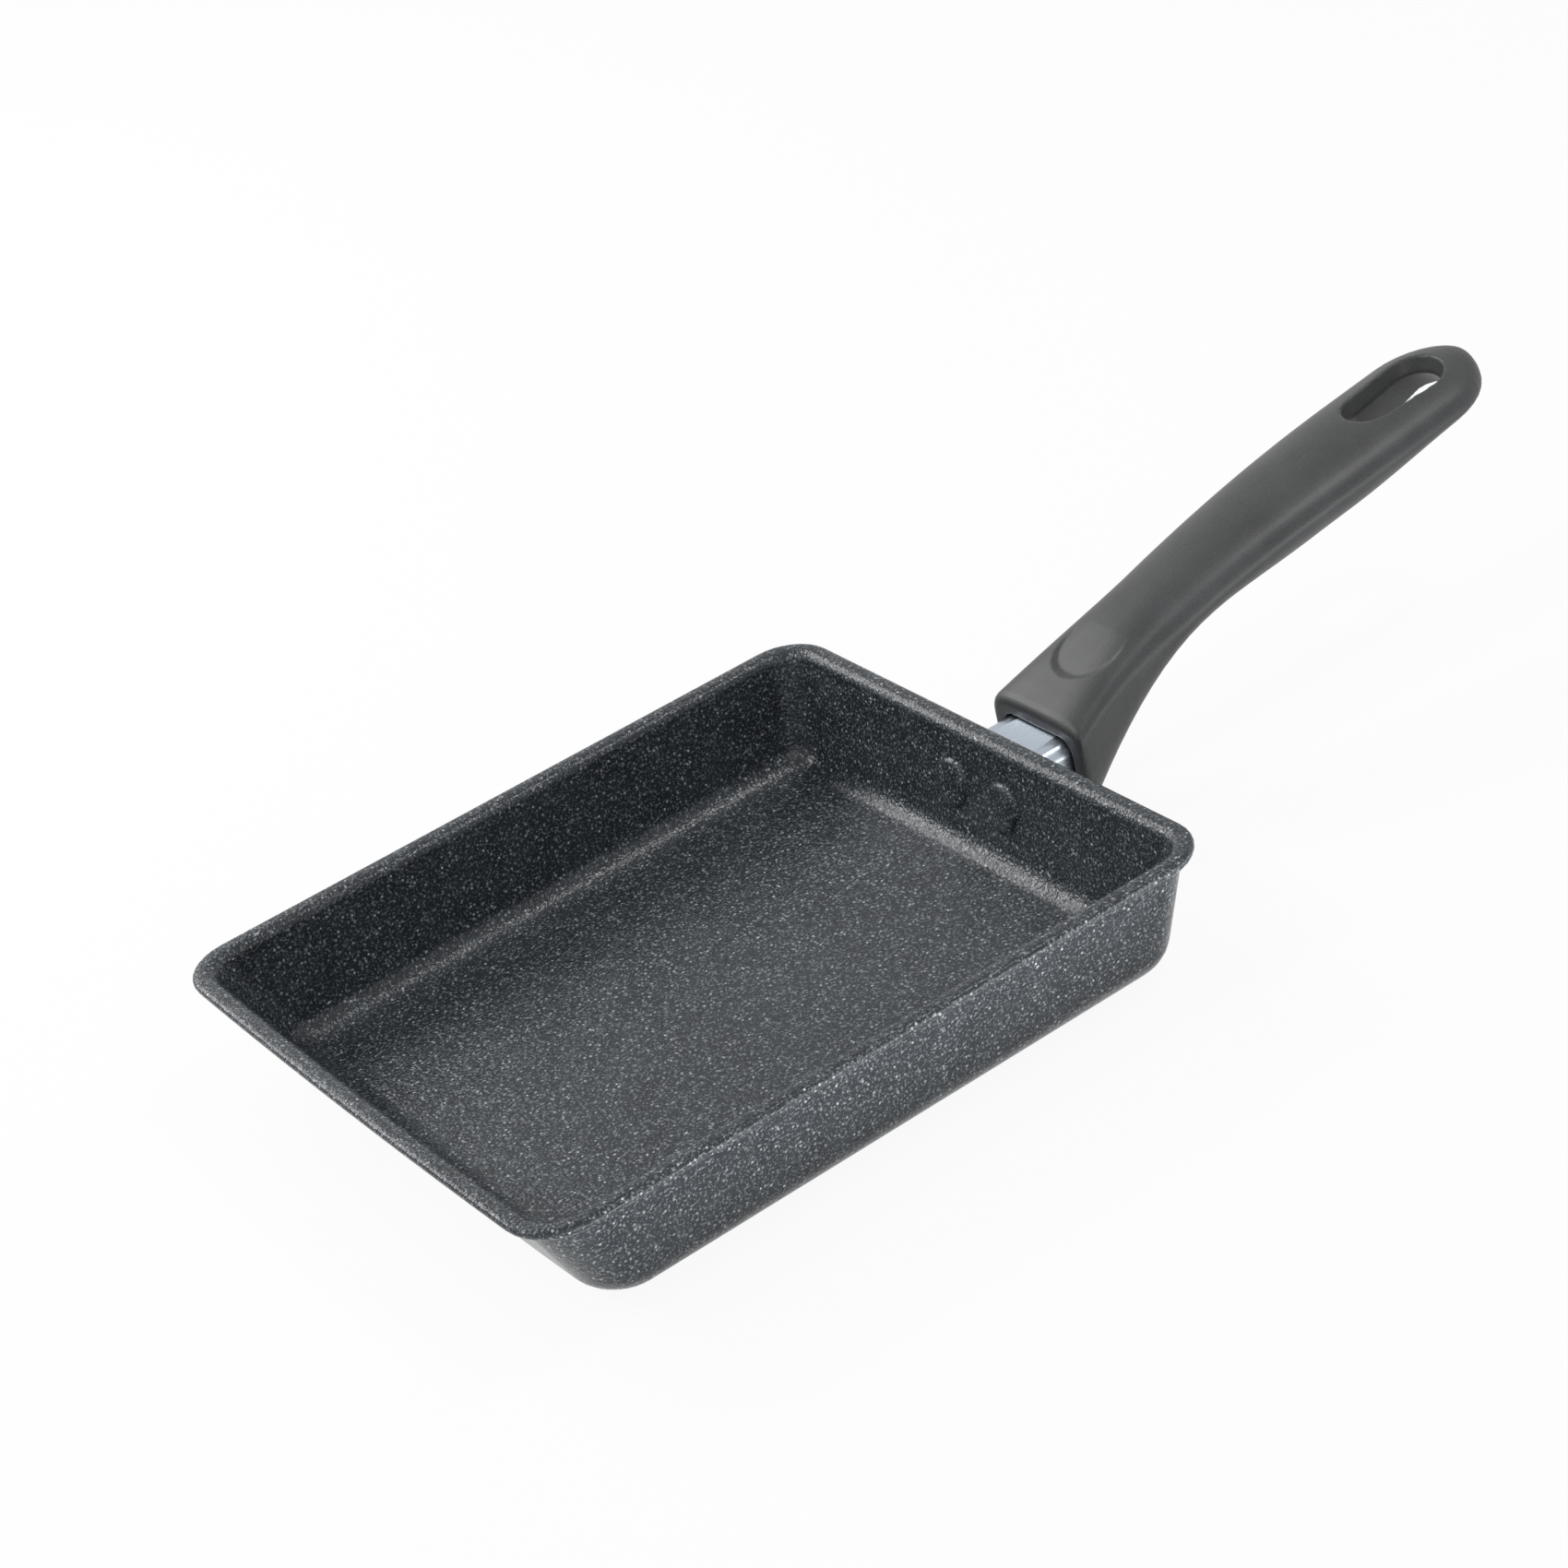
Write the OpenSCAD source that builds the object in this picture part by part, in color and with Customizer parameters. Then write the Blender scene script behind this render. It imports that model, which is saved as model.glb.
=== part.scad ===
// Rectangular omelette pan with a riveted bracket and a moulded grip.
// The base of the pan lies on z = 0, the grip points along +X.
// The origin is the middle of the rim's outline, dropped to the base.

/* [Pan] */
// Length of the rim, from the front edge to the back edge
pan_l = 170; // [140:1:220]
// Width of the rim
pan_w = 150; // [110:1:200]
// Height of the pan, from the base to the top of the rim
pan_h = 29.5; // [26:0.5:45]
// Lean of the front wall away from upright, in degrees
front_lean = 25; // [5:1:35]
// Lean of the two side walls, in degrees
side_lean = 10.5; // [0:0.5:20]
// Lean of the back wall, in degrees
back_lean = 12.5; // [0:0.5:20]
// How far the front edge bows out at its middle
front_bow = 1; // [0:0.5:5]
// Thickness of the walls
wall_t = 2.6; // [1.5:0.1:4]
// Thickness of the floor
floor_t = 3; // [2:0.1:5]
// Corner radius of the rim's outer edge
rim_r = 12; // [10:0.5:25]
// Radius between the base and the outside of the walls
base_r = 6.5; // [3:0.5:8]
// Radius between the floor and the inside of the walls
floor_r = 5; // [4:0.5:9]

/* [Lip] */
// How far the lip stands out from the wall
lip_reach = 2.3; // [2:0.1:5]
// Thickness of the lip, which is fully rounded at its edge
lip_t = 3; // [2:0.1:3.8]
// Radius from the top of the lip down into the pan
lip_inner_r = 2; // [0.5:0.1:2.5]

/* [Rivets] */
// Distance between the two rivets
rivet_pitch = 17.8; // [14:0.1:24]
// Height of the rivets above the base
rivet_z = 15.5; // [14:0.5:17]
// Diameter of the rivet shank
rivet_d = 5; // [4:0.1:6]
// Diameter of the low domed head inside the pan
rivet_head_d = 11.4; // [9:0.1:13]
// Height of the domed head
rivet_head_h = 1.2; // [1:0.1:3]
// Diameter of the set head behind the bracket
rivet_tail_d = 8.4; // [7:0.1:10]
// Height of the set head
rivet_tail_h = 1.8; // [1:0.1:3]

/* [Bracket] */
// Thickness of the steel sheet
sheet_t = 2; // [1.2:0.1:2.5]
// Width of the flange that is riveted to the pan
flange_w = 34; // [34:1:44]
// Height of the flange
flange_h = 17; // [13:0.5:17]
// Radius of the flange's corners
flange_r = 4; // [1:0.5:6]
// Width of the neck between the pan and the grip
neck_w = 23; // [20:0.5:24]
// Height of the neck's side walls
neck_h = 11.5; // [10:0.5:12]
// Radius along the neck's two top edges
neck_r = 3.5; // [2.5:0.1:5]
// How far the neck runs into the grip
neck_in = 6; // [4:0.5:6.5]
// Free length of the neck between the rim and the grip
neck_gap = 10.7; // [9:0.1:12]
// Width of the tang inside the grip
tang_w = 13; // [11:0.5:14]
// Length of the tang inside the grip
tang_l = 27; // [24:0.5:30]
// Height of the tang at its far end
tang_h = 7.4; // [7:0.1:8.5]
// Rise of the tang, in degrees
tang_rise = 24.5; // [22:0.5:26]

/* [Grip] */
// Length of the grip
grip_l = 136; // [130:1:145]
// Height of the grip's top edge at its front, above the neck
grip_over = 4.5; // [4:0.1:5.5]
// Rise of the grip's top line from front to tail
grip_rise = 31.9; // [30:0.1:33]
// Slope of the top line at the front, as rise over run
grip_slope = 0.48; // [0.45:0.01:0.5]
// Slope of the top line at the tail
tail_slope = 0.14; // [0.1:0.01:0.18]
// Width of the grip at its front
grip_front_w = 32.2; // [31.5:0.1:34]
// Width of the grip at its waist
grip_waist_w = 25; // [24:0.1:28]
// Width of the grip at its tail
grip_tail_w = 30; // [26:0.1:32]
// Depth of the grip at its front, where the heel hangs down
grip_front_d = 27; // [26.5:0.1:28]
// Depth of the grip at its waist
grip_waist_d = 12.9; // [12.4:0.1:14]
// Depth of the grip behind the waist
grip_palm_d = 15.8; // [15:0.1:17]
// Depth of the grip at its tail
grip_tail_d = 11; // [10:0.1:12]
// Height of the grip's crown above its widest line
crown_h = 6.5; // [5:0.1:7.5]
// Length of the rounded tail
tail_l = 15.8; // [14:0.1:17]
// Length of the heel
heel_l = 50; // [44:1:54]
// Rounding of the front edge of the grip
grip_edge_r = 1.6; // [0.5:0.1:3]
// Gap between the bracket and the socket in the grip
socket_gap = 0.4; // [0.2:0.05:0.6]
// Distance of the thumb rest's middle from the front
thumb_x = 18.5; // [17:0.5:24]
// Length of the thumb rest in front of its middle
thumb_l = 10; // [8:0.5:12]
// Width of the thumb rest
thumb_w = 18.5; // [15:0.5:20]
// Depth of the thumb rest at its middle
thumb_d = 0.35; // [0.1:0.05:0.6]
// How steeply the thumb rest falls towards its front, in degrees
thumb_fall = 3.5; // [3:0.5:6]
// Draft of the step in front of the thumb rest, as run over depth
thumb_draft = 1.3; // [0.8:0.1:1.8]

/* [Hanging hole] */
// Length of the hole on the top of the grip
hole_l = 27; // [22:0.5:30]
// Width of the hole at its round end
hole_w = 14.5; // [12:0.5:15]
// Width of the hole at its narrow end
hole_front_w = 12; // [11:0.5:13]
// Grip left behind the hole
hole_back = 9; // [8:0.5:12]
// Rounding of the hole's edge on the top
hole_rim = 1.2; // [0.6:0.1:1.6]
// How much the hole narrows to its waist on each side
hole_draft = 1.2; // [0.5:0.1:2]
// Depth of the waist below the top of the grip
hole_waist = 4.2; // [3.5:0.1:5]
// How much the hole opens from its waist to the underside, on each side
hole_flare = 0.5; // [0:0.1:2]
// How far the hole runs on towards the tail at the underside
hole_scoop = 6; // [2:0.5:7]

/* [Fastening] */
// Nominal diameter of the long screw
screw_d = 5; // [4:0.1:5.2]
// Diameter of the screw head
screw_head_d = 8.5; // [7.5:0.1:8.8]
// Height of the screw head
screw_head_h = 3.3; // [2.5:0.1:4]
// Length of the screw under its head
screw_l = 66; // [62:0.5:70]
// Thread of the screw that stands out of the bracket's end tab
screw_tip = 3; // [1:0.5:5]
// Tilt of the screw, in degrees
screw_tilt = 12; // [11.6:0.1:12.4]
// Gap around a shank in its hole, on the diameter
bore_gap = 0.3; // [0.1:0.05:0.5]
// Outer diameter of the flat washer
washer_d = 9; // [8.5:0.1:9.2]
// Thickness of the flat washer
washer_t = 1; // [0.6:0.1:1.4]
// Outer diameter of the spring washer
spring_d = 8.4; // [7.8:0.1:8.8]
// Thickness of the spring washer
spring_t = 1.4; // [1:0.1:1.8]
// Gap between the spring washer's two ends
split_w = 0.8; // [0.4:0.1:1.5]

/* [Hidden] */
$fn = 64;

coat = "#3c4146";
steel = "#b9bfc6";
phenolic = "#55585a";
zinc = "#c3c6c9";

// Steps of one corner, and points along the bowed front edge
corner_n = 8;
bow_n = 9;
// Least corner radius, where the floor's fillet is wider than the corner
least_r = 1.5;

// Distance of the outside of a wall from the rim's edge, at height z
function wall_in(lean, z) = lip_reach + tan(lean) * (pan_h - z);
function back_x(z) = pan_l / 2 - wall_in(back_lean, z);
function front_x(z) = -pan_l / 2 + wall_in(front_lean, z);

// Quarter turn of points about [x, y], from angle a
function corner(x, y, r, a) =
    [for (i = [0:corner_n]) [x + r * cos(a + 90 * i / corner_n),
                             y + r * sin(a + 90 * i / corner_n)]];

// Front edge shift at y on an outline of half width h
function bow(y, h) = front_bow * (1 - pow(y / h, 2));

// Outline of the pan at height z, moved in from the outside of the walls by u
function outline(u, z) =
    let (x1 = back_x(z) - u,
         x0 = front_x(z) + u,
         h = pan_w / 2 - wall_in(side_lean, z) - u,
         r = max(rim_r - lip_reach - u, least_r),
         front = [for (i = [1:bow_n]) [x0, (h - r) * (1 - 2 * i / (bow_n + 1))]],
         flat = concat(corner(x1 - r, -h + r, r, -90),
                       corner(x1 - r, h - r, r, 0),
                       corner(x0 + r, h - r, r, 90),
                       front,
                       corner(x0 + r, -h + r, r, 180)))
    [for (p = flat) [p[0] < x0 + r + 0.001 ? p[0] - bow(p[1], h) : p[0], p[1], z]];

// Wall section as [u, z], from the base round the lip and down to the floor
tip_r = lip_t / 2;
tip_u = tip_r - lip_reach;
under_r = min(0.8, max(-tip_u, 0.1));
section = concat(
    [for (a = [0:15:90]) [base_r * (1 - sin(a)), base_r * (1 - cos(a))]],
    [for (a = [0:30:60]) [-under_r * (1 - cos(a)), pan_h - lip_t - under_r * (1 - sin(a))]],
    [for (a = [-90:22.5:90]) [tip_u - tip_r * cos(a), pan_h - tip_r + tip_r * sin(a)]],
    [for (a = [90:-22.5:0]) [wall_t - lip_inner_r * (1 - cos(a)),
                             pan_h - lip_inner_r * (1 - sin(a))]],
    [for (a = [0:11.25:90]) [wall_t + floor_r * (1 - cos(a)),
                             floor_t + floor_r * (1 - sin(a))]]);

// Closed skin through rings of equal length, capped at both ends
module loft(rings) {
    n = len(rings[0]);
    m = len(rings);
    sides = [for (i = [0:m - 2], j = [0:n - 1])
        let (a = i * n + j, b = i * n + (j + 1) % n)
        each [[a, a + n, b], [b, a + n, b + n]]];
    first = [for (j = [0:n - 1]) j];
    last = [for (j = [n - 1:-1:0]) (m - 1) * n + j];
    polyhedron(concat([for (r = rings) each r]), concat(sides, [first, last]), convexity = 6);
}

// Frame on the outside of the back wall at the rivets: +X out of the wall
module on_back_wall() {
    translate([back_x(rivet_z), 0, rivet_z]) rotate([0, back_lean, 0]) children();
}

// How far a cutting bar runs past the face it goes through
through = 4;
// Thickness of the back wall measured square to it
back_t = wall_t * cos(back_lean);

// Round bar along +X from x0 to x1
module bar(d, x0, x1) {
    translate([x0, 0, 0]) rotate([0, 90, 0]) cylinder(d = d, h = x1 - x0);
}

// Points [radius, x] over a low dome of diameter d and height h on x = 0, from rim to tip
function dome(d, h) =
    let (r = (d * d / 4 + h * h) / (2 * h), open = asin(d / (2 * r)))
    [for (i = [0:8]) let (a = open * (1 - i / 8)) [i == 8 ? 0 : r * sin(a), r * cos(a) - r + h]];

module pan_body() {
    color(coat) difference() {
        loft([for (s = section) outline(s[0], s[1])]);
        for (y = [-1, 1])
            on_back_wall() translate([0, y * rivet_pitch / 2, 0])
                bar(rivet_d + bore_gap, -back_t - through, through);
    }
}

// Rivet on the back wall's frame: domed head inside, shank, set head on the flange
module rivet(y) {
    head = [for (p = dome(rivet_head_d, rivet_head_h)) [p[0], -back_t - p[1]]];
    tail = [for (p = dome(rivet_tail_d, rivet_tail_h)) [p[0], sheet_t + p[1]]];
    tip_first = [for (i = [len(head) - 1:-1:0]) head[i]];
    shank = [[rivet_d / 2, -back_t], [rivet_d / 2, sheet_t]];
    on_back_wall() translate([0, y, 0]) rotate([0, 90, 0]) rotate_extrude()
        polygon(concat(tip_first, shank, tail));
}

module rivet_left() {
    color(coat) rivet(rivet_pitch / 2);
}

module rivet_right() {
    color(coat) rivet(-rivet_pitch / 2);
}

// Plate outline with round corners, centred
module round_plate(w, h, r) {
    square([w - 2 * r, h], center = true);
    square([w, h - 2 * r], center = true);
    for (x = [-1, 1], y = [-1, 1])
        translate([x * (w / 2 - r), y * (h / 2 - r)]) circle(r = r);
}

// Bar profile with round top corners: its top lies on y = 0
module neck_profile(w, h, r) {
    translate([0, -(h + r) / 2]) square([w, h - r], center = true);
    translate([0, -h / 2]) square([w - 2 * r, h], center = true);
    for (x = [-1, 1]) translate([x * (w / 2 - r), -r]) circle(r = r);
}

// Heights and places that the bracket and the grip share
neck_top = rivet_z + flange_h / 2;
grip_x = pan_l / 2 + neck_gap;
tang_x = grip_x + tang_l;
tang_top = neck_top + tan(tang_rise) * tang_l;
tab_z = tang_top - tang_h / 2;
// The tang starts this far before the grip, and this far under the neck's sheet
tang_lap = 2;
tang_drop = 3;

// Side view of the tang, grown by c
module tang_side(c) {
    lean = tan(screw_tilt) * (tang_h / 2 + c);
    low = neck_top - sheet_t - tang_drop - c;
    polygon([[grip_x - tang_lap, low],
             [grip_x - tang_lap, neck_top + c],
             [grip_x, neck_top + c],
             [tang_x + c - lean, tang_top + c],
             [tang_x + c + lean, tang_top - tang_h - c],
             [grip_x + neck_in, low]]);
}

// Extrusion of a side view to width w, centred on the pan's middle
module side_extrude(w) {
    rotate([90, 0, 0]) linear_extrude(w, center = true) children();
}

// Extrusion of a front view along +X, from x0 to x1
module front_extrude(x0, x1) {
    translate([x0, 0, 0]) rotate([90, 0, 90]) linear_extrude(x1 - x0) children();
}

// Frame of the long screw: origin in the end tab, +X along the screw to its head
module on_screw() {
    translate([tang_x, 0, tab_z]) rotate([0, -screw_tilt, 0]) children();
}

module handle_bracket() {
    inner_w = neck_w - 2 * sheet_t;
    tail_room = 1;
    neck_start = pan_l / 2 - 12;
    wall_side = 60;
    color(steel) difference() {
        union() {
            on_back_wall() rotate([90, 0, 90])
                linear_extrude(sheet_t) round_plate(flange_w, flange_h, flange_r);
            difference() {
                translate([0, 0, neck_top]) front_extrude(neck_start, grip_x + neck_in)
                    neck_profile(neck_w, neck_h, neck_r);
                translate([0, 0, neck_top - sheet_t]) front_extrude(neck_start - 1, grip_x + neck_in + 1)
                    neck_profile(inner_w, neck_h, neck_r - sheet_t);
                // the neck ends on the pan's back wall
                on_back_wall() translate([-wall_side / 2, 0, 0]) cube(wall_side, center = true);
            }
            difference() {
                side_extrude(tang_w) tang_side(0);
                translate([-sheet_t, 0, -sheet_t]) side_extrude(tang_w - 2 * sheet_t)
                    tang_side(0);
            }
        }
        for (y = [-1, 1])
            on_back_wall() translate([0, y * rivet_pitch / 2, 0])
                bar(rivet_d + bore_gap, -through, sheet_t + through);
        // room for the set heads of the rivets beside the neck
        for (y = [-1, 1])
            on_back_wall() translate([0, y * rivet_pitch / 2, 0])
                bar(rivet_tail_d + tail_room, sheet_t, sheet_t + rivet_tail_h + tail_room);
        on_screw() bar(screw_d + bore_gap, -tang_h, tang_h);
    }
}

// Top line of the grip at distance s from its front
grip_top_z = neck_top + grip_over;
function top_z(s) =
    let (t = min(s / grip_l, 1), back = 1 - t)
    grip_top_z + grip_rise * t * t * (3 - 2 * t)
    + grip_l * t * back * (grip_slope * back - tail_slope * t);

// Smooth step from 0 at a to 1 at b
function ease(s, a, b) = let (t = min(max((s - a) / (b - a), 0), 1)) t * t * (3 - 2 * t);

// Where the grip changes its depth and width, as distances from its front
waist_x = 30;
palm_x0 = 0.28 * grip_l;
palm_x1 = 0.55 * grip_l;
taper_x0 = 0.65 * grip_l;
taper_x1 = grip_l;
widest_x = 0.75 * grip_l;
heel_power = 1.7;

// Depth and width of the grip at distance s from its front
function depth(s) = grip_waist_d
    + (grip_front_d - grip_waist_d) * pow(max(1 - s / heel_l, 0), heel_power)
    + (grip_palm_d - grip_waist_d) * ease(s, palm_x0, palm_x1)
    + (grip_tail_d - grip_palm_d) * ease(s, taper_x0, taper_x1);
function width(s) = grip_waist_w
    + (grip_front_w - grip_waist_w) * pow(max(1 - s / waist_x, 0), 2)
    + (grip_tail_w - grip_waist_w) * ease(s, waist_x, widest_x);

// Power of cos or sin that keeps its sign
function bent(v, n) = sign(v) * pow(abs(v), 2 / n);

// Shape powers of the section: squarer at the front, rounder behind and below
front_power = 3.8;
back_power = 2.1;
low_power = 0.2;
square_l = 40;
function power(s) = front_power - (front_power - back_power) * ease(s, 0, square_l);

// Ring of the grip at s, its width and depth cut on each side by w and d
ring_n = 44;
function grip_ring(s, w, d) =
    let (half = width(s) / 2 - w,
         top = top_z(s) - d,
         low = top_z(s) - depth(s) + d,
         mid = top - crown_h / depth(s) * (top - low),
         n = power(s))
    [for (i = [0:ring_n - 1])
        let (a = 360 * i / ring_n, c = cos(a), v = sin(a))
        [grip_x + s, half * bent(c, n),
         v > 0 ? mid + (top - mid) * bent(v, n) : mid + (mid - low) * bent(v, n - low_power)]];

// Share of the half depth left at angle a of the rounded tail
function tail_left(a) = pow(cos(a), 0.5);
ring_step = 4;
function edge_cut(a) = grip_edge_r * (1 - sin(a));
grip_rings = concat(
    [for (a = [0:30:60]) grip_ring(grip_edge_r * (1 - cos(a)), edge_cut(a), edge_cut(a))],
    [for (s = [grip_edge_r:ring_step:grip_l - tail_l - ring_step / 2]) grip_ring(s, 0, 0)],
    [for (a = [0:10:80])
        let (s = grip_l - tail_l * (1 - sin(a)))
        grip_ring(s, width(s) / 2 * (1 - cos(a)), depth(s) / 2 * (1 - tail_left(a)))]);

// Frame on the top line at distance s from the front: +Z out of the grip
module on_top(s) {
    reach = 5;
    slope = atan((top_z(s + reach) - top_z(s - reach)) / (2 * reach));
    translate([grip_x + s, 0, top_z(s)]) rotate([0, -slope, 0]) children();
}

// Hanging hole: a waisted slot, round at the tail and blunter at the front
hole_r = hole_w / 2;
front_r = hole_front_w / 2;
hole_x = grip_l - hole_back - hole_r;

// Thin slice of the hole at height z, grown by g and drawn out by far at the tail
module hole_slice(z, g, far) {
    slice = 0.01;
    translate([far, 0, z]) cylinder(r = hole_r + g, h = slice, $fn = 32);
    translate([hole_r + front_r - hole_l, 0, z]) cylinder(r = front_r + g, h = slice, $fn = 32);
}

module hanging_hole() {
    above = 2;
    below = grip_palm_d;
    drop = grip_tail_d - hole_waist;
    // the rim is rounded in two steps: a flat one, then a steep one
    rim_grow = 0.4 * hole_rim;
    rim_low = hole_rim + rim_grow;
    rim_slope = 1.5;
    on_top(hole_x) {
        hull() {
            hole_slice(-rim_grow, rim_grow, 0);
            hole_slice(above, rim_grow + rim_slope * above, 0);
        }
        hull() {
            hole_slice(-rim_low, 0, 0);
            hole_slice(-rim_grow, rim_grow, 0);
        }
        hull() {
            hole_slice(-hole_waist, -hole_draft, 0);
            hole_slice(-rim_low, 0, 0);
        }
        hull() {
            hole_slice(-hole_waist - below, hole_flare * below / drop - hole_draft,
                       hole_scoop * below / drop);
            hole_slice(-hole_waist, -hole_draft, 0);
        }
    }
}

// Thumb rest: an oval of the crowned top that falls towards the front, up to a curved step
module thumb_rest() {
    above = 4;
    front_d = thumb_d + thumb_l * tan(thumb_fall);
    foot = 1 - thumb_draft * front_d / thumb_l;
    difference() {
        on_top(thumb_x) translate([0, 0, -front_d]) scale([thumb_l, thumb_w / 2, 1])
            cylinder(r1 = foot, r2 = foot + thumb_draft * (above + front_d) / thumb_l,
                     h = above + front_d, $fn = 72);
        translate([grip_x + thumb_x, 0, top_z(thumb_x) - thumb_d]) rotate([0, -thumb_fall, 0])
            translate([-grip_x - thumb_x, 0, -top_z(thumb_x)]) loft(grip_rings);
    }
}

// Seat of the long screw: how far its head lies from the end tab
seat = screw_l - sheet_t - screw_tip;

// Length of the recess for the head, which opens into the hanging hole
recess_l = 30;

module handle_grip() {
    color(phenolic) difference() {
        loft(grip_rings);
        // socket for the neck and the tang
        translate([0, 0, neck_top + socket_gap])
            front_extrude(grip_x - 1, grip_x + neck_in + socket_gap)
                neck_profile(neck_w + 2 * socket_gap, neck_h + 2 * socket_gap, neck_r);
        side_extrude(tang_w + 2 * socket_gap) tang_side(socket_gap);
        on_screw() {
            bar(screw_d + bore_gap, 0, seat);
            bar(washer_d + 2 * bore_gap, seat - washer_t - spring_t, seat + recess_l);
        }
        hanging_hole();
        thumb_rest();
    }
}

module handle_screw() {
    slot_w = 1.2;
    slot_t = 1.2;
    color(zinc) on_screw() difference() {
        union() {
            bar(screw_d, seat - screw_l, seat);
            bar(screw_head_d, seat, seat + screw_head_h);
        }
        translate([seat + screw_head_h, 0, 0])
            cube([2 * slot_t, screw_head_d + 1, slot_w], center = true);
    }
}

module flat_washer() {
    color(zinc) on_screw() translate([seat - spring_t - washer_t, 0, 0]) difference() {
        bar(washer_d, 0, washer_t);
        bar(screw_d + bore_gap, -1, washer_t + 1);
    }
}

module spring_washer() {
    split_turn = 15;
    color(zinc) on_screw() translate([seat - spring_t, 0, 0]) difference() {
        bar(spring_d, 0, spring_t);
        bar(screw_d + bore_gap, -1, spring_t + 1);
        translate([spring_t / 2, 0, spring_d / 2]) rotate([0, 0, split_turn])
            cube([spring_t * 2, split_w, spring_d - screw_d], center = true);
    }
}

pan_body();
rivet_left();
rivet_right();
handle_bracket();
handle_grip();
handle_screw();
flat_washer();
spring_washer();
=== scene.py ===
# Rectangular omelette pan: speckled non-stick body, stainless bracket, moulded phenolic grip.
import math

import bmesh
import bpy
from mathutils import Matrix, Vector


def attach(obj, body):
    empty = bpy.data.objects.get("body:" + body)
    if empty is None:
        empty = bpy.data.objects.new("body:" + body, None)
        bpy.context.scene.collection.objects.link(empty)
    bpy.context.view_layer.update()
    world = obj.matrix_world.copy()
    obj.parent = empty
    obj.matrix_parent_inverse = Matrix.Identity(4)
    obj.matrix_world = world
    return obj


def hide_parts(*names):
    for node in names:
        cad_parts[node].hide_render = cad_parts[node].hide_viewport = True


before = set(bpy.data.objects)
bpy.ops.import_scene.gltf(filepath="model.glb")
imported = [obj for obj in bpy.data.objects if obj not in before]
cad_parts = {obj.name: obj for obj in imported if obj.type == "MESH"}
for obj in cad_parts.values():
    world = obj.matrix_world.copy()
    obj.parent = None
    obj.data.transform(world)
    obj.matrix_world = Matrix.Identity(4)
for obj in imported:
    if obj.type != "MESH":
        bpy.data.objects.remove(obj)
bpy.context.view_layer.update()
mm = 0.001
white = "#ffffff"
black = "#000000"
print("frame loaded:", ", ".join(sorted(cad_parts)))


def linearColour(hexCode):
    # sRGB hex to the linear values that shaders work in
    parts = [int(hexCode[i:i + 2], 16) / 255 for i in (1, 3, 5)]
    return [p / 12.92 if p <= 0.04045 else ((p + 0.055) / 1.055) ** 2.4 for p in parts] + [1.0]


def addNode(tree, kind, settings=None, values=None, links=None):
    # one shader node with its settings, its unlinked values and what feeds it
    node = tree.nodes.new("ShaderNode" + kind)
    for name, value in (settings or {}).items():
        setattr(node, name, value)
    for socket, value in (values or {}).items():
        node.inputs[socket].default_value = value
    for socket, source in (links or {}).items():
        tree.links.new(source, node.inputs[socket])
    return node


def startMaterial(name):
    material = bpy.data.materials.new(name)
    material.use_nodes = True
    tree = material.node_tree
    tree.nodes.clear()
    return material, tree


def scaleFor(sizeMm):
    # the texture scale at which a grain or a cell is this many millimetres
    return 1 / (sizeMm * mm)


def setRamp(node, low, high):
    # low and high are the ends of the ramp, each a position and a hex colour
    for stop, (position, hexCode) in zip(node.color_ramp.elements, (low, high)):
        stop.position = position
        stop.color = linearColour(hexCode)


# Sprayed fluoropolymer coating, baked on pressed aluminium: a satin charcoal base
# with fine light mineral specks and a slight grit that breaks up every highlight.
coating = {
    "base": "#23282d", "cloud": "#2d3338", "cloudMm": 9.0,
    # mineral grit in the film, drawn coarser than the real one so that it shows: it comes in
    # between two levels of the noise, up to a share
    "grit": "#8b9196", "grainMm": 0.55, "gritFrom": 0.54, "gritTo": 0.68, "gritShare": "#e0e0e0",
    # mineral specks: their spacing, the radii of core and edge as a part of it, and how few are bright
    "speck": "#b6bbbf", "dotMm": 1.15, "dotCore": 0.14, "dotEdge": 0.34, "faintness": 1.9,
    # the few large bright flecks
    "bright": "#d6d9db", "fleckMm": 4.0, "fleckCore": 0.04, "fleckEdge": 0.08,
    # pimples of the film, which sparkle under a lamp
    "peelMm": 0.8, "peelHighMm": 0.19,
    "roughness": 0.21, "sheen": 0.29,
}


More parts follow.
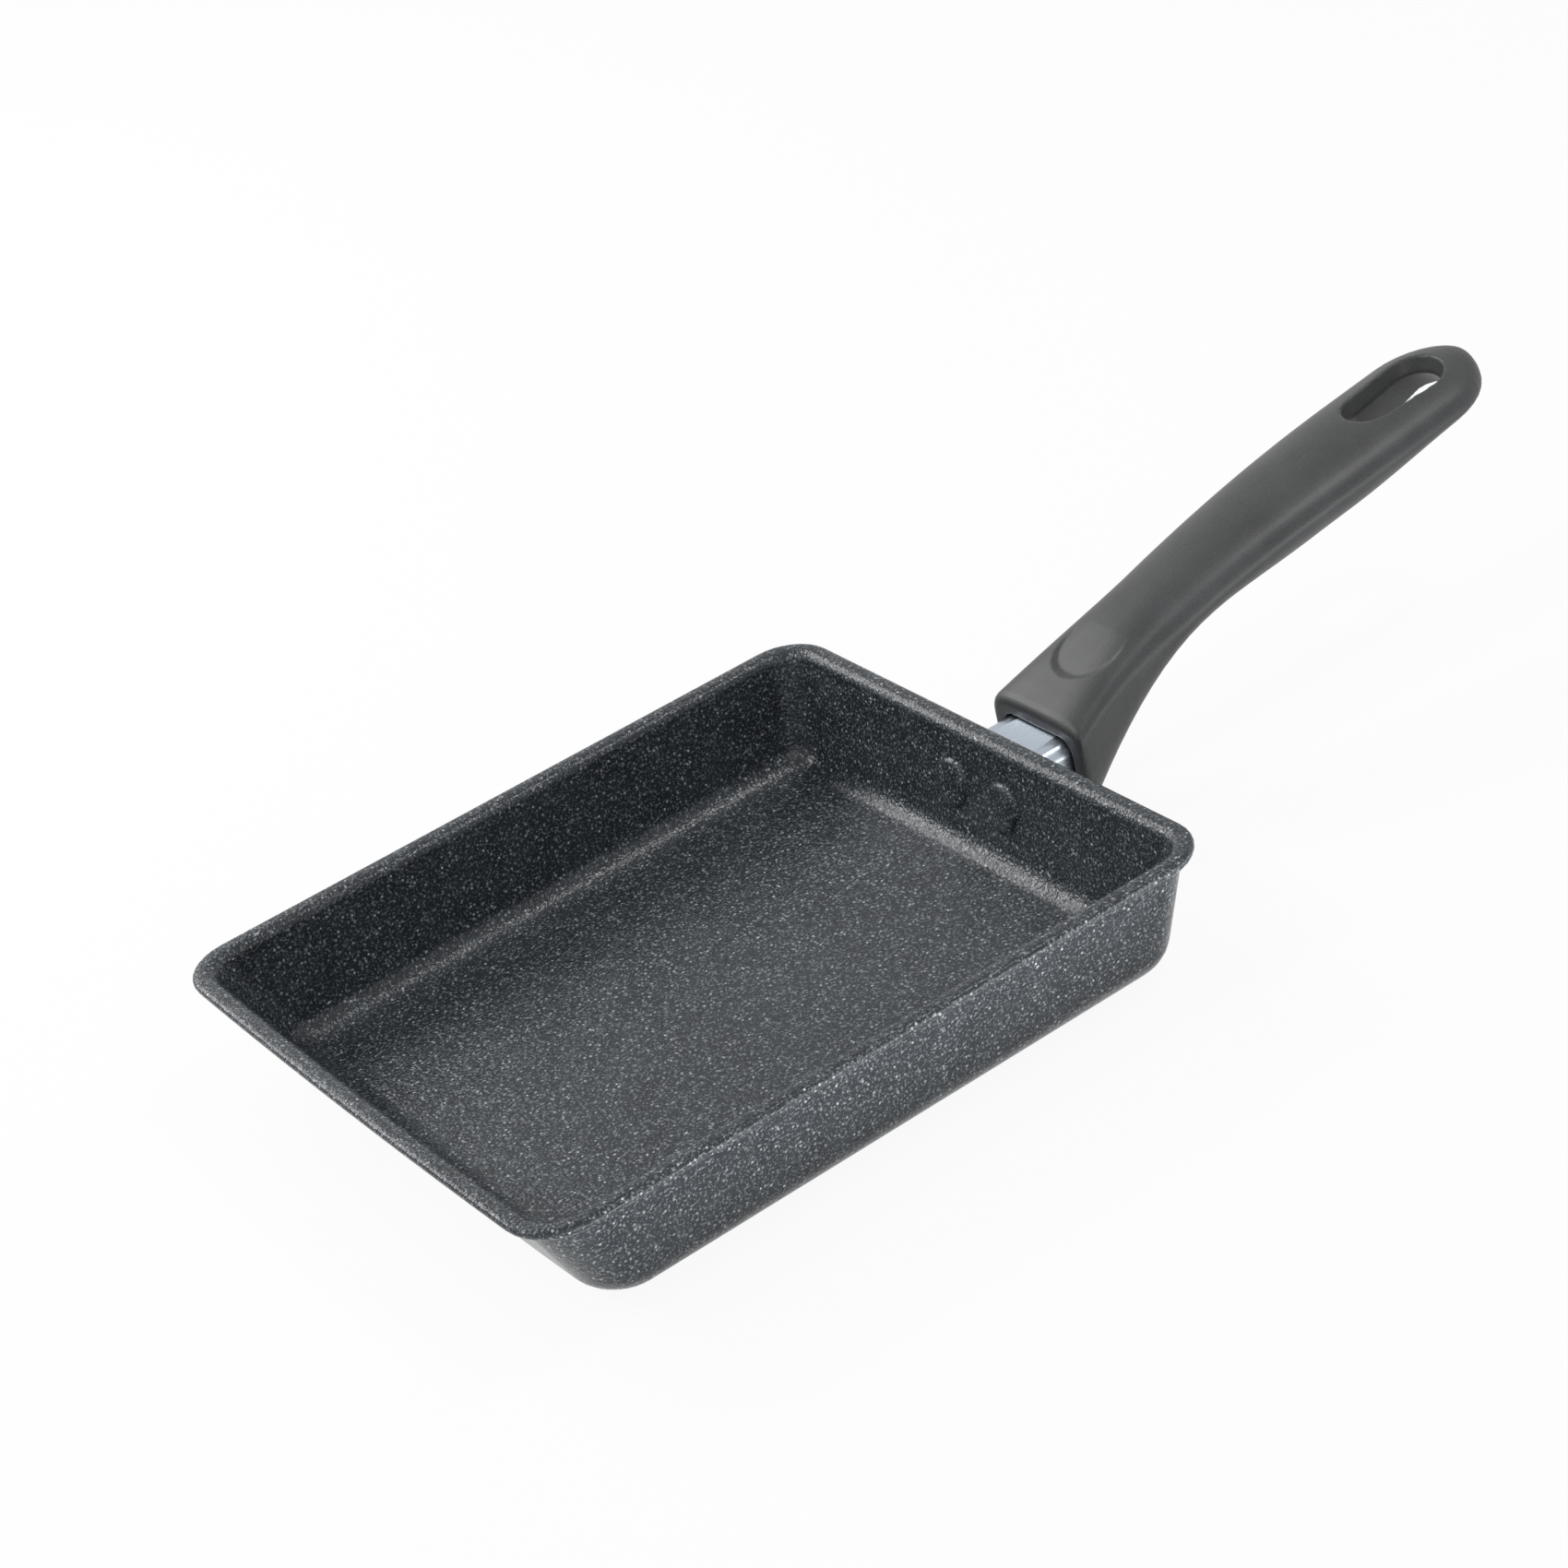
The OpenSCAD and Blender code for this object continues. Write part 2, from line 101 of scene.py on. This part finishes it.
def makeCoating():
    material, tree = startMaterial("speckled_nonstick_coating")
    place = addNode(tree, "TexCoord").outputs["Object"]
    grain = addNode(tree, "TexNoise", values={"Scale": scaleFor(coating["grainMm"]), "Detail": 2.0,
                    "Roughness": 0.6}, links={"Vector": place})
    peel = addNode(tree, "TexNoise", values={"Scale": scaleFor(coating["peelMm"]), "Detail": 1.0,
                   "Roughness": 0.6}, links={"Vector": place})
    cloud = addNode(tree, "TexNoise", values={"Scale": scaleFor(coating["cloudMm"]), "Detail": 3.0},
                    links={"Vector": place})
    dots = addNode(tree, "TexVoronoi", values={"Scale": scaleFor(coating["dotMm"])}, links={"Vector": place})
    flecks = addNode(tree, "TexVoronoi", values={"Scale": scaleFor(coating["fleckMm"])},
                     links={"Vector": place})
    baseTone = addNode(tree, "ValToRGB", links={"Fac": cloud.outputs["Fac"]})
    setRamp(baseTone, (0.35, coating["base"]), (0.65, coating["cloud"]))
    # each speck has its own brightness, most of them faint
    dotMask = addNode(tree, "ValToRGB", links={"Fac": dots.outputs["Distance"]})
    setRamp(dotMask, (coating["dotCore"], white), (coating["dotEdge"], black))
    dotShade = addNode(tree, "SeparateColor", links={"Color": dots.outputs["Color"]})
    strength = addNode(tree, "Math", settings={"operation": "POWER"}, values={1: coating["faintness"]},
                       links={0: dotShade.outputs[0]})
    dotCover = addNode(tree, "Math", settings={"operation": "MULTIPLY"},
                       links={0: dotMask.outputs["Color"], 1: strength.outputs[0]})
    gritMask = addNode(tree, "ValToRGB", links={"Fac": grain.outputs["Fac"]})
    setRamp(gritMask, (coating["gritFrom"], black), (coating["gritTo"], coating["gritShare"]))
    mottled = addNode(tree, "MixRGB", values={"Color2": linearColour(coating["grit"])},
                      links={"Fac": gritMask.outputs["Color"], "Color1": baseTone.outputs["Color"]})
    speckled = addNode(tree, "MixRGB", values={"Color2": linearColour(coating["speck"])},
                       links={"Fac": dotCover.outputs[0], "Color1": mottled.outputs["Color"]})
    fleckMask = addNode(tree, "ValToRGB", links={"Fac": flecks.outputs["Distance"]})
    setRamp(fleckMask, (coating["fleckCore"], white), (coating["fleckEdge"], black))
    flecked = addNode(tree, "MixRGB", values={"Color2": linearColour(coating["bright"])},
                      links={"Fac": fleckMask.outputs["Color"], "Color1": speckled.outputs["Color"]})
    pimples = addNode(tree, "Bump", values={"Strength": 1.0, "Distance": coating["peelHighMm"] * mm},
                      links={"Height": peel.outputs["Fac"]})
    shader = addNode(tree, "BsdfPrincipled", values={"Roughness": coating["roughness"], "IOR": 1.5,
                     "Specular IOR Level": coating["sheen"]},
                     links={"Base Color": flecked.outputs["Color"], "Normal": pimples.outputs["Normal"]})
    addNode(tree, "OutputMaterial", links={"Surface": shader.outputs["BSDF"]})
    return material


# Compression-moulded phenolic resin: dark neutral grey with the matte texture of a
# blasted mould, drawn coarser than the real one, which spreads the light over the curves.
resin = {
    "deep": "#2f3031", "pale": "#414243", "grainMm": 0.45, "grainHighMm": 0.04, "grainStrength": 0.3,
    "cloudMm": 12.0, "roughness": 0.42, "sheen": 0.4,
}


def makeResin():
    material, tree = startMaterial("moulded_phenolic_resin")
    place = addNode(tree, "TexCoord").outputs["Object"]
    grain = addNode(tree, "TexNoise", values={"Scale": scaleFor(resin["grainMm"]), "Detail": 1.5},
                    links={"Vector": place})
    cloud = addNode(tree, "TexNoise", values={"Scale": scaleFor(resin["cloudMm"]), "Detail": 2.0},
                    links={"Vector": place})
    blend = addNode(tree, "MixRGB", values={"Fac": 0.5},
                    links={"Color1": grain.outputs["Fac"], "Color2": cloud.outputs["Fac"]})
    tone = addNode(tree, "ValToRGB", links={"Fac": blend.outputs["Color"]})
    setRamp(tone, (0.35, resin["deep"]), (0.65, resin["pale"]))
    texture = addNode(tree, "Bump", values={"Strength": resin["grainStrength"],
                      "Distance": resin["grainHighMm"] * mm}, links={"Height": grain.outputs["Fac"]})
    shader = addNode(tree, "BsdfPrincipled", values={"Roughness": resin["roughness"], "IOR": 1.5,
                     "Specular IOR Level": resin["sheen"]},
                     links={"Base Color": tone.outputs["Color"], "Normal": texture.outputs["Normal"]})
    addNode(tree, "OutputMaterial", links={"Surface": shader.outputs["BSDF"]})
    return material


# Cold-rolled stainless sheet, tumbled bright after pressing: rolling lines along the neck,
# drawn coarser than the real ones, and a clear, slightly soft mirror.
stainless = {
    "tone": "#afb8c1", "shade": "#a4adb7", "lineMm": 0.25, "lineSquash": 0.03,
    "lineHighMm": 0.01, "lineStrength": 0.05, "roughLow": 0.24, "roughHigh": 0.32,
}


def makeStainless():
    material, tree = startMaterial("bright_stainless_sheet")
    place = addNode(tree, "TexCoord").outputs["Object"]
    stretched = addNode(tree, "Mapping", values={"Scale": (stainless["lineSquash"], 1.0, 1.0)},
                        links={"Vector": place})
    lines = addNode(tree, "TexNoise", values={"Scale": scaleFor(stainless["lineMm"]), "Detail": 2.0},
                    links={"Vector": stretched.outputs["Vector"]})
    tone = addNode(tree, "ValToRGB", links={"Fac": lines.outputs["Fac"]})
    setRamp(tone, (0.3, stainless["shade"]), (0.7, stainless["tone"]))
    gloss = addNode(tree, "MapRange", values={"To Min": stainless["roughLow"],
                    "To Max": stainless["roughHigh"]}, links={"Value": lines.outputs["Fac"]})
    scratch = addNode(tree, "Bump", values={"Strength": stainless["lineStrength"],
                      "Distance": stainless["lineHighMm"] * mm}, links={"Height": lines.outputs["Fac"]})
    shader = addNode(tree, "BsdfPrincipled", values={"Metallic": 1.0},
                     links={"Base Color": tone.outputs["Color"], "Roughness": gloss.outputs["Result"],
                            "Normal": scratch.outputs["Normal"]})
    addNode(tree, "OutputMaterial", links={"Surface": shader.outputs["BSDF"]})
    return material


# Zinc-plated steel: turned or stamped, then plated, so it is pale grey with a
# faint cloudy change of gloss.
zinc = {"tone": "#c9ccce", "dull": "#a5a9ac", "cloudMm": 1.2, "roughLow": 0.24, "roughHigh": 0.44}


def makeZinc():
    material, tree = startMaterial("zinc_plated_steel")
    place = addNode(tree, "TexCoord").outputs["Object"]
    cloud = addNode(tree, "TexNoise", values={"Scale": scaleFor(zinc["cloudMm"]), "Detail": 3.0},
                    links={"Vector": place})
    tone = addNode(tree, "ValToRGB", links={"Fac": cloud.outputs["Fac"]})
    setRamp(tone, (0.35, zinc["dull"]), (0.65, zinc["tone"]))
    gloss = addNode(tree, "MapRange", values={"To Min": zinc["roughLow"], "To Max": zinc["roughHigh"]},
                    links={"Value": cloud.outputs["Fac"]})
    shader = addNode(tree, "BsdfPrincipled", values={"Metallic": 1.0},
                     links={"Base Color": tone.outputs["Color"], "Roughness": gloss.outputs["Result"]})
    addNode(tree, "OutputMaterial", links={"Surface": shader.outputs["BSDF"]})
    return material


coatingSkin = makeCoating()
resinSkin = makeResin()
stainlessSkin = makeStainless()
zincSkin = makeZinc()
print("materials made")


def startPiece(name, shape, skin, smoothAngle):
    # a finished bmesh becomes a piece that rides on the pan; edges above the angle stay sharp
    for face in shape.faces:
        face.smooth = True
    for edge in shape.edges:
        edge.smooth = len(edge.link_faces) == 2 and edge.calc_face_angle(0) < math.radians(smoothAngle)
    mesh = bpy.data.meshes.new(name)
    shape.to_mesh(mesh)
    shape.free()
    mesh.materials.append(skin)
    piece = bpy.data.objects.new(name, mesh)
    bpy.context.scene.collection.objects.link(piece)
    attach(piece, "root")
    return piece


# points of the CAD's mesh this close are one and the same
mergeMm = 0.002


def mergedCopy(nodeName):
    # the CAD node's loose triangles as one closed skin
    shape = bmesh.new()
    shape.from_mesh(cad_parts[nodeName].data)
    bmesh.ops.remove_doubles(shape, verts=shape.verts, dist=mergeMm * mm)
    return shape


def squareNormals(piece):
    # large flat faces keep their own shading beside narrow roundings
    steady = piece.modifiers.new("steadyNormals", "WEIGHTED_NORMAL")
    steady.keep_sharp = True
    steady.weight = 60


body = {"smoothAngle": 35}


def makeBody():
    shape = mergedCopy("pan_body")
    piece = startPiece("coated_pan", shape, coatingSkin, body["smoothAngle"])
    squareNormals(piece)
    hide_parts("pan_body")


makeBody()
print("body made")


# A rivet in mm: x and z of the wall's outside at its middle, then its sizes. The domed head
# is inside the pan, the set head, called the tail, is outside on the bracket's sheet.
rivet = {
    "x": 79.596, "z": 15.5, "pitch": 17.8, "lean": 12.5, "wall": 2.54, "sheet": 2.0, "shank": 2.5,
    "head": 5.7, "headHigh": 1.2, "headFullness": 2.6, "headSteps": 14,
    "tail": 4.2, "tailHigh": 1.8, "tailFullness": 2.2, "tailSteps": 10,
    # the sprayed coating that fills the corner between the head and the wall
    "skirt": 0.4, "skirtFoot": 0.04, "skirtHigh": 0.3,
    "steps": 48, "smoothAngle": 50, "mergeMm": 0.005,
}


def domePoints(radius, height, fullness, count):
    # radius and height along a low head, rim first; a fuller head is flatter with a rounder edge
    turns = [math.pi / 2 * i / count for i in range(count + 1)]
    power = 2 / fullness
    return [(radius * math.cos(turn) ** power, height * math.sin(turn) ** power) for turn in turns]


def rivetProfile():
    # radius and place along the rivet, from the middle of the domed head to the middle of the tail
    wall, sheet = rivet["wall"], rivet["sheet"]
    head = domePoints(rivet["head"], rivet["headHigh"], rivet["headFullness"], rivet["headSteps"])
    tail = domePoints(rivet["tail"], rivet["tailHigh"], rivet["tailFullness"], rivet["tailSteps"])
    inner = [(radius, -wall - high) for radius, high in head]
    skirt = [(rivet["head"] + rivet["skirt"] * (1 - rise),
              -wall - rivet["skirtFoot"] - rivet["skirtHigh"] * rise * rise) for rise in (0.7, 0.35, 0)]
    shank = [(rivet["shank"], -wall), (rivet["shank"], sheet)]
    outer = [(radius, sheet + high) for radius, high in tail]
    return inner[:0:-1] + skirt + shank + outer


def makeRivet(name, nodeName, side):
    shape = bmesh.new()
    points = [shape.verts.new((along * mm, 0, radius * mm)) for radius, along in rivetProfile()]
    edges = [shape.edges.new(pair) for pair in zip(points, points[1:])]
    bmesh.ops.spin(shape, geom=points + edges, cent=(0, 0, 0), axis=(1, 0, 0), angle=2 * math.pi,
                   steps=rivet["steps"], use_merge=True)
    bmesh.ops.remove_doubles(shape, verts=shape.verts, dist=rivet["mergeMm"] * mm)
    bmesh.ops.recalc_face_normals(shape, faces=shape.faces)
    place = Matrix.Translation((rivet["x"] * mm, side * rivet["pitch"] / 2 * mm, rivet["z"] * mm))
    shape.transform(place @ Matrix.Rotation(math.radians(rivet["lean"]), 4, "Y"))
    piece = startPiece(name, shape, coatingSkin, rivet["smoothAngle"])
    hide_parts(nodeName)


makeRivet("left_rivet", "rivet_left", 1)
makeRivet("right_rivet", "rivet_right", -1)
print("rivets made")


# edge is the width of the rounding in mm; faces within flatAngle of each other are one face
bracket = {"edge": 0.25, "flatAngle": 0.5, "sharpAngle": 35, "smoothAngle": 28}
fastener = {"edge": 0.12, "flatAngle": 0.5, "sharpAngle": 35, "smoothAngle": 28}


def bevelledCopy(name, nodeName, skin, finish):
    # flat faces are joined up, then every sharp edge gets a small rounding
    shape = mergedCopy(nodeName)
    bmesh.ops.dissolve_limit(shape, angle_limit=math.radians(finish["flatAngle"]),
                             verts=shape.verts, edges=shape.edges)
    piece = startPiece(name, shape, skin, finish["smoothAngle"])
    rounding = piece.modifiers.new("edgeRounding", "BEVEL")
    rounding.width = finish["edge"] * mm
    rounding.segments = 2
    rounding.limit_method = "ANGLE"
    rounding.angle_limit = math.radians(finish["sharpAngle"])
    rounding.use_clamp_overlap = True
    squareNormals(piece)
    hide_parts(nodeName)


bevelledCopy("steel_bracket", "handle_bracket", stainlessSkin, bracket)
print("bracket made")

bevelledCopy("long_screw", "handle_screw", zincSkin, fastener)
bevelledCopy("plain_washer", "flat_washer", zincSkin, fastener)
bevelledCopy("split_washer", "spring_washer", zincSkin, fastener)
print("screw and washers made")


grip = {"smoothAngle": 180, "voxelMm": 0.42, "easing": 0.5, "easingRounds": 2}


def makeGrip():
    # recut as an even skin and eased a little, so that every edge has a moulding's soft radius
    shape = mergedCopy("handle_grip")
    piece = startPiece("moulded_grip", shape, resinSkin, grip["smoothAngle"])
    recut = piece.modifiers.new("evenSkin", "REMESH")
    recut.mode = "VOXEL"
    recut.voxel_size = grip["voxelMm"] * mm
    recut.use_smooth_shade = True
    easing = piece.modifiers.new("easing", "SMOOTH")
    easing.factor = grip["easing"]
    easing.iterations = grip["easingRounds"]
    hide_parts("handle_grip")


makeGrip()
print("grip made")


# place in metres, the direction from the object to the camera in degrees, lens and sensor in mm
view = {
    "place": (-0.308212, -0.616562, 0.454108),
    "azimuth": -118.807, "elevation": 30.255, "roll": 13.785,
    "lens": 88.63, "sensor": 36.0, "nearest": 0.01,
}


def makeCamera():
    turn, lift, roll = (math.radians(view[k]) for k in ("azimuth", "elevation", "roll"))
    back = Vector((math.cos(lift) * math.cos(turn), math.cos(lift) * math.sin(turn), math.sin(lift)))
    right = (-back).cross(Vector((0, 0, 1))).normalized()
    down = (-back).cross(right)
    across = math.cos(roll) * right + math.sin(roll) * down
    upward = math.sin(roll) * right - math.cos(roll) * down
    axes = Matrix((across, upward, back)).transposed().to_4x4()
    lensData = bpy.data.cameras.new("productCamera")
    lensData.sensor_width = view["sensor"]
    lensData.sensor_fit = "HORIZONTAL"
    lensData.lens = view["lens"]
    lensData.clip_start = view["nearest"]
    camera = bpy.data.objects.new("productCamera", lensData)
    camera.matrix_world = Matrix.Translation(view["place"]) @ axes
    bpy.context.scene.collection.objects.link(camera)
    bpy.context.scene.camera = camera


makeCamera()
print("camera set")


middle = (0.03, 0, 0)
besidePan = (0.07, -0.32)
studio = {
    "floorSize": 6.0, "floorDrop": 0.0001, "floorTone": "#f0f0f0", "shadowShare": 0.07,
    "sky": 0.22,
    # name, place, the point it faces, size, watts
    "lamps": [
        ("farSoftbox", (-0.12, 0.9, 0.75), middle, 0.5, 4.8),
        ("frontKey", (-0.7, 0.25, 0.9), middle, 0.22, 3.4),
        ("overheadStrip", (0.44, -0.22, 0.9), middle, 0.2, 2.2),
        ("backEdge", (-0.38, 0.75, 0.5), middle, 0.2, 2.0),
        ("cameraFill", (-0.2, -1.0, 0.55), middle, 0.6, 1.7),
        # lies on the table and faces up, for the light that the white table throws on the walls
        ("tableGlow", (*besidePan, 0.001), (*besidePan, 1), 0.44, 2.4),
    ],
}


def showToLens(tree):
    # 1 for camera, glossy and transmitted rays, which all see the white studio
    path = addNode(tree, "LightPath")
    first = addNode(tree, "Math", settings={"operation": "MAXIMUM"},
                    links={0: path.outputs["Is Camera Ray"], 1: path.outputs["Is Glossy Ray"]})
    second = addNode(tree, "Math", settings={"operation": "MAXIMUM"},
                     links={0: first.outputs[0], 1: path.outputs["Is Transmission Ray"]})
    return second.outputs[0]


def makeFloor():
    shape = bmesh.new()
    bmesh.ops.create_grid(shape, x_segments=1, y_segments=1, size=studio["floorSize"] / 2)
    bmesh.ops.translate(shape, verts=shape.verts, vec=(0, 0, -studio["floorDrop"]))
    mesh = bpy.data.meshes.new("studio_floor")
    shape.to_mesh(mesh)
    shape.free()
    floor = bpy.data.objects.new("studio_floor", mesh)
    bpy.context.scene.collection.objects.link(floor)
    material, tree = startMaterial("white_studio_paper")
    paper = addNode(tree, "BsdfDiffuse", values={"Color": linearColour(studio["floorTone"])})
    glow = addNode(tree, "Emission", values={"Strength": 1.0})
    seen = addNode(tree, "MixShader", values={"Fac": studio["shadowShare"]},
                   links={1: glow.outputs[0], 2: paper.outputs[0]})
    both = addNode(tree, "MixShader", links={"Fac": showToLens(tree), 1: paper.outputs[0],
                                             2: seen.outputs[0]})
    addNode(tree, "OutputMaterial", links={"Surface": both.outputs[0]})
    mesh.materials.append(material)


def makeSky():
    world = bpy.data.worlds.new("studioSky")
    world.use_nodes = True
    tree = world.node_tree
    tree.nodes.clear()
    soft = addNode(tree, "Background", values={"Color": linearColour(white), "Strength": studio["sky"]})
    bare = addNode(tree, "Background", values={"Color": linearColour(white), "Strength": 1.0})
    both = addNode(tree, "MixShader", links={"Fac": showToLens(tree), 1: soft.outputs[0],
                                             2: bare.outputs[0]})
    addNode(tree, "OutputWorld", links={"Surface": both.outputs[0]})
    bpy.context.scene.world = world


def makeLamps():
    for name, place, faces, size, watts in studio["lamps"]:
        lampData = bpy.data.lights.new(name, "AREA")
        lampData.shape = "SQUARE"
        lampData.size = size
        lampData.energy = watts
        lamp = bpy.data.objects.new(name, lampData)
        lamp.visible_camera = False
        aim = Vector(faces) - Vector(place)
        lamp.matrix_world = Matrix.Translation(place) @ aim.to_track_quat("-Z", "Y").to_matrix().to_4x4()
        bpy.context.scene.collection.objects.link(lamp)


makeFloor()
makeSky()
makeLamps()
bpy.context.scene.view_settings.view_transform = "Standard"
print("studio lit")
